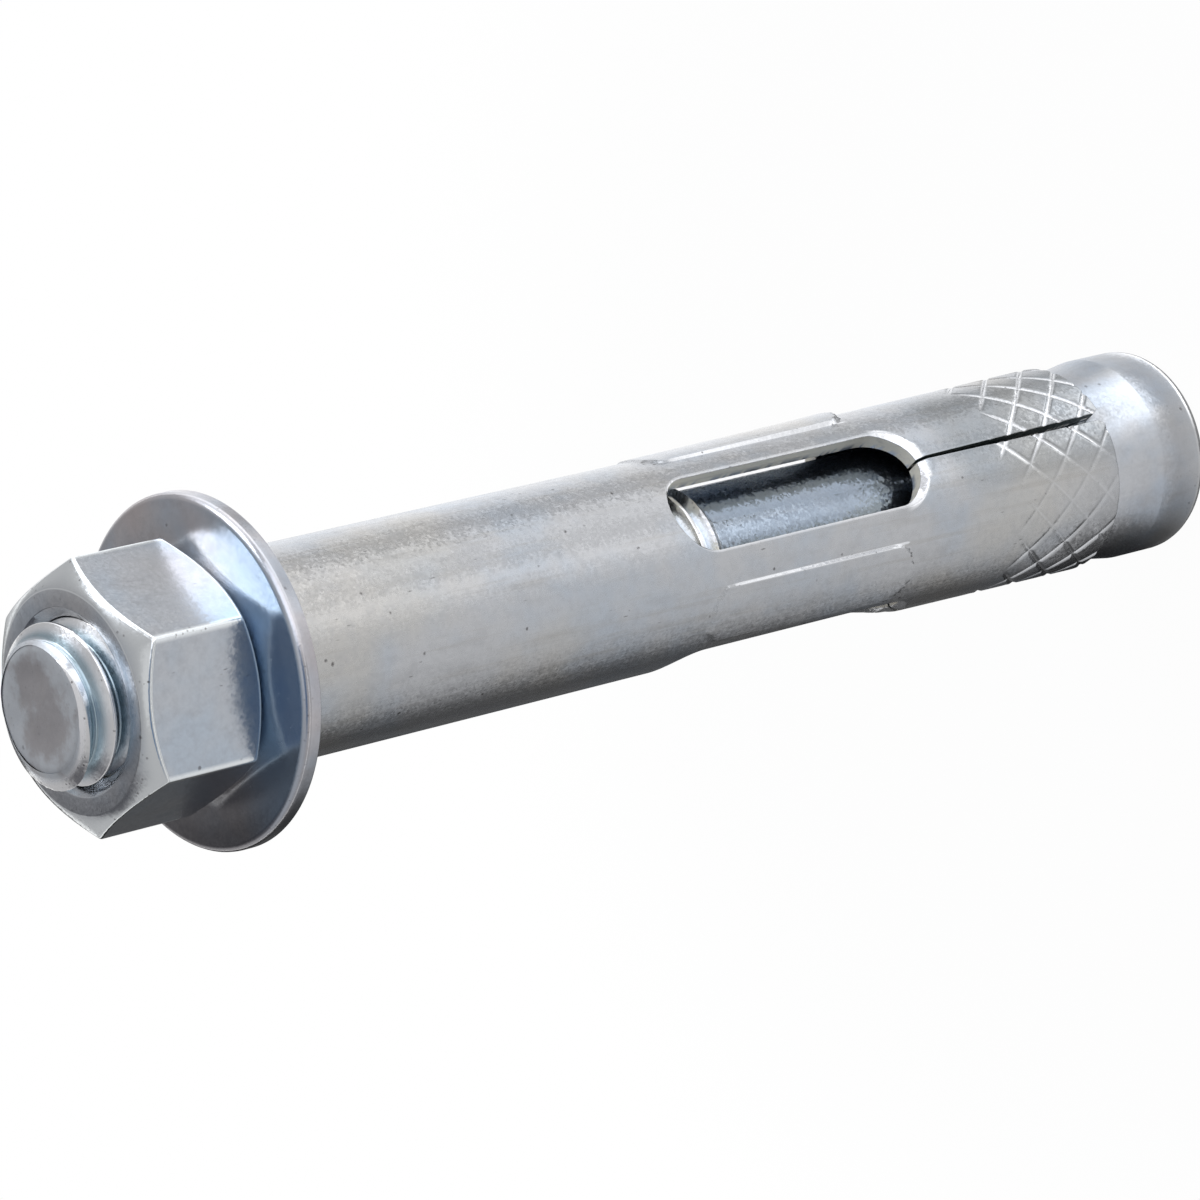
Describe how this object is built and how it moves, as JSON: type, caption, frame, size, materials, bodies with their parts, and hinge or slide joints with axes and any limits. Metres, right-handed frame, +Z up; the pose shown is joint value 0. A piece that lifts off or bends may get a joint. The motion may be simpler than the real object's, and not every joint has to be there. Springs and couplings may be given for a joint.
{
  "type": "sleeve anchor",
  "caption": "Hex-nut sleeve anchor: a threaded stud with an expander cone inside a slotted, windowed sleeve that grips the wall of a drilled hole when the nut is tightened.",
  "frame": {"origin": "centre of the flat end face of the expander cone, which the anchor stands on", "axes": "+Z up the stud's axis towards the nut, -Y out through the middle of the sleeve's first window"},
  "size_m": [0.0208, 0.0208, 0.088],
  "materials": {
    "stud_zinc": "clear zinc plated carbon steel, rolled thread, satin",
    "sleeve_zinc": "clear zinc plated sheet steel, satin, with a knurled foot",
    "washer_zinc": "clear zinc plated steel with a bluish tint, satin",
    "nut_zinc": "clear zinc plated steel with a bluish tint, satin"
  },
  "bodies": {
    "stud": {"stud": "stud_zinc"},
    "sleeve": {"sleeve": "sleeve_zinc"},
    "washer": {"washer": "washer_zinc"},
    "nut": {"hex_nut": "nut_zinc"}
  },
  "joints": [
    {"name": "sleeve_spin", "type": "hinge", "parent": "stud", "child": "sleeve", "pos_m": [0, 0, 0.04], "axis": [0, 0, 1], "continuous": true},
    {"name": "washer_travel", "type": "slide", "parent": "stud", "child": "washer", "axis": [0, 0, 1], "range_m": [0, 0.0064]},
    {"name": "nut_turn", "type": "hinge", "parent": "washer", "child": "nut", "pos_m": [0, 0, 0.08167], "axis": [0, 0, 1], "range_deg": [0, 1440]}
  ],
  "couplings": [
    {"joint": "washer_travel", "follows": "nut_turn", "m_per_rad": 0.00025266}
  ]
}
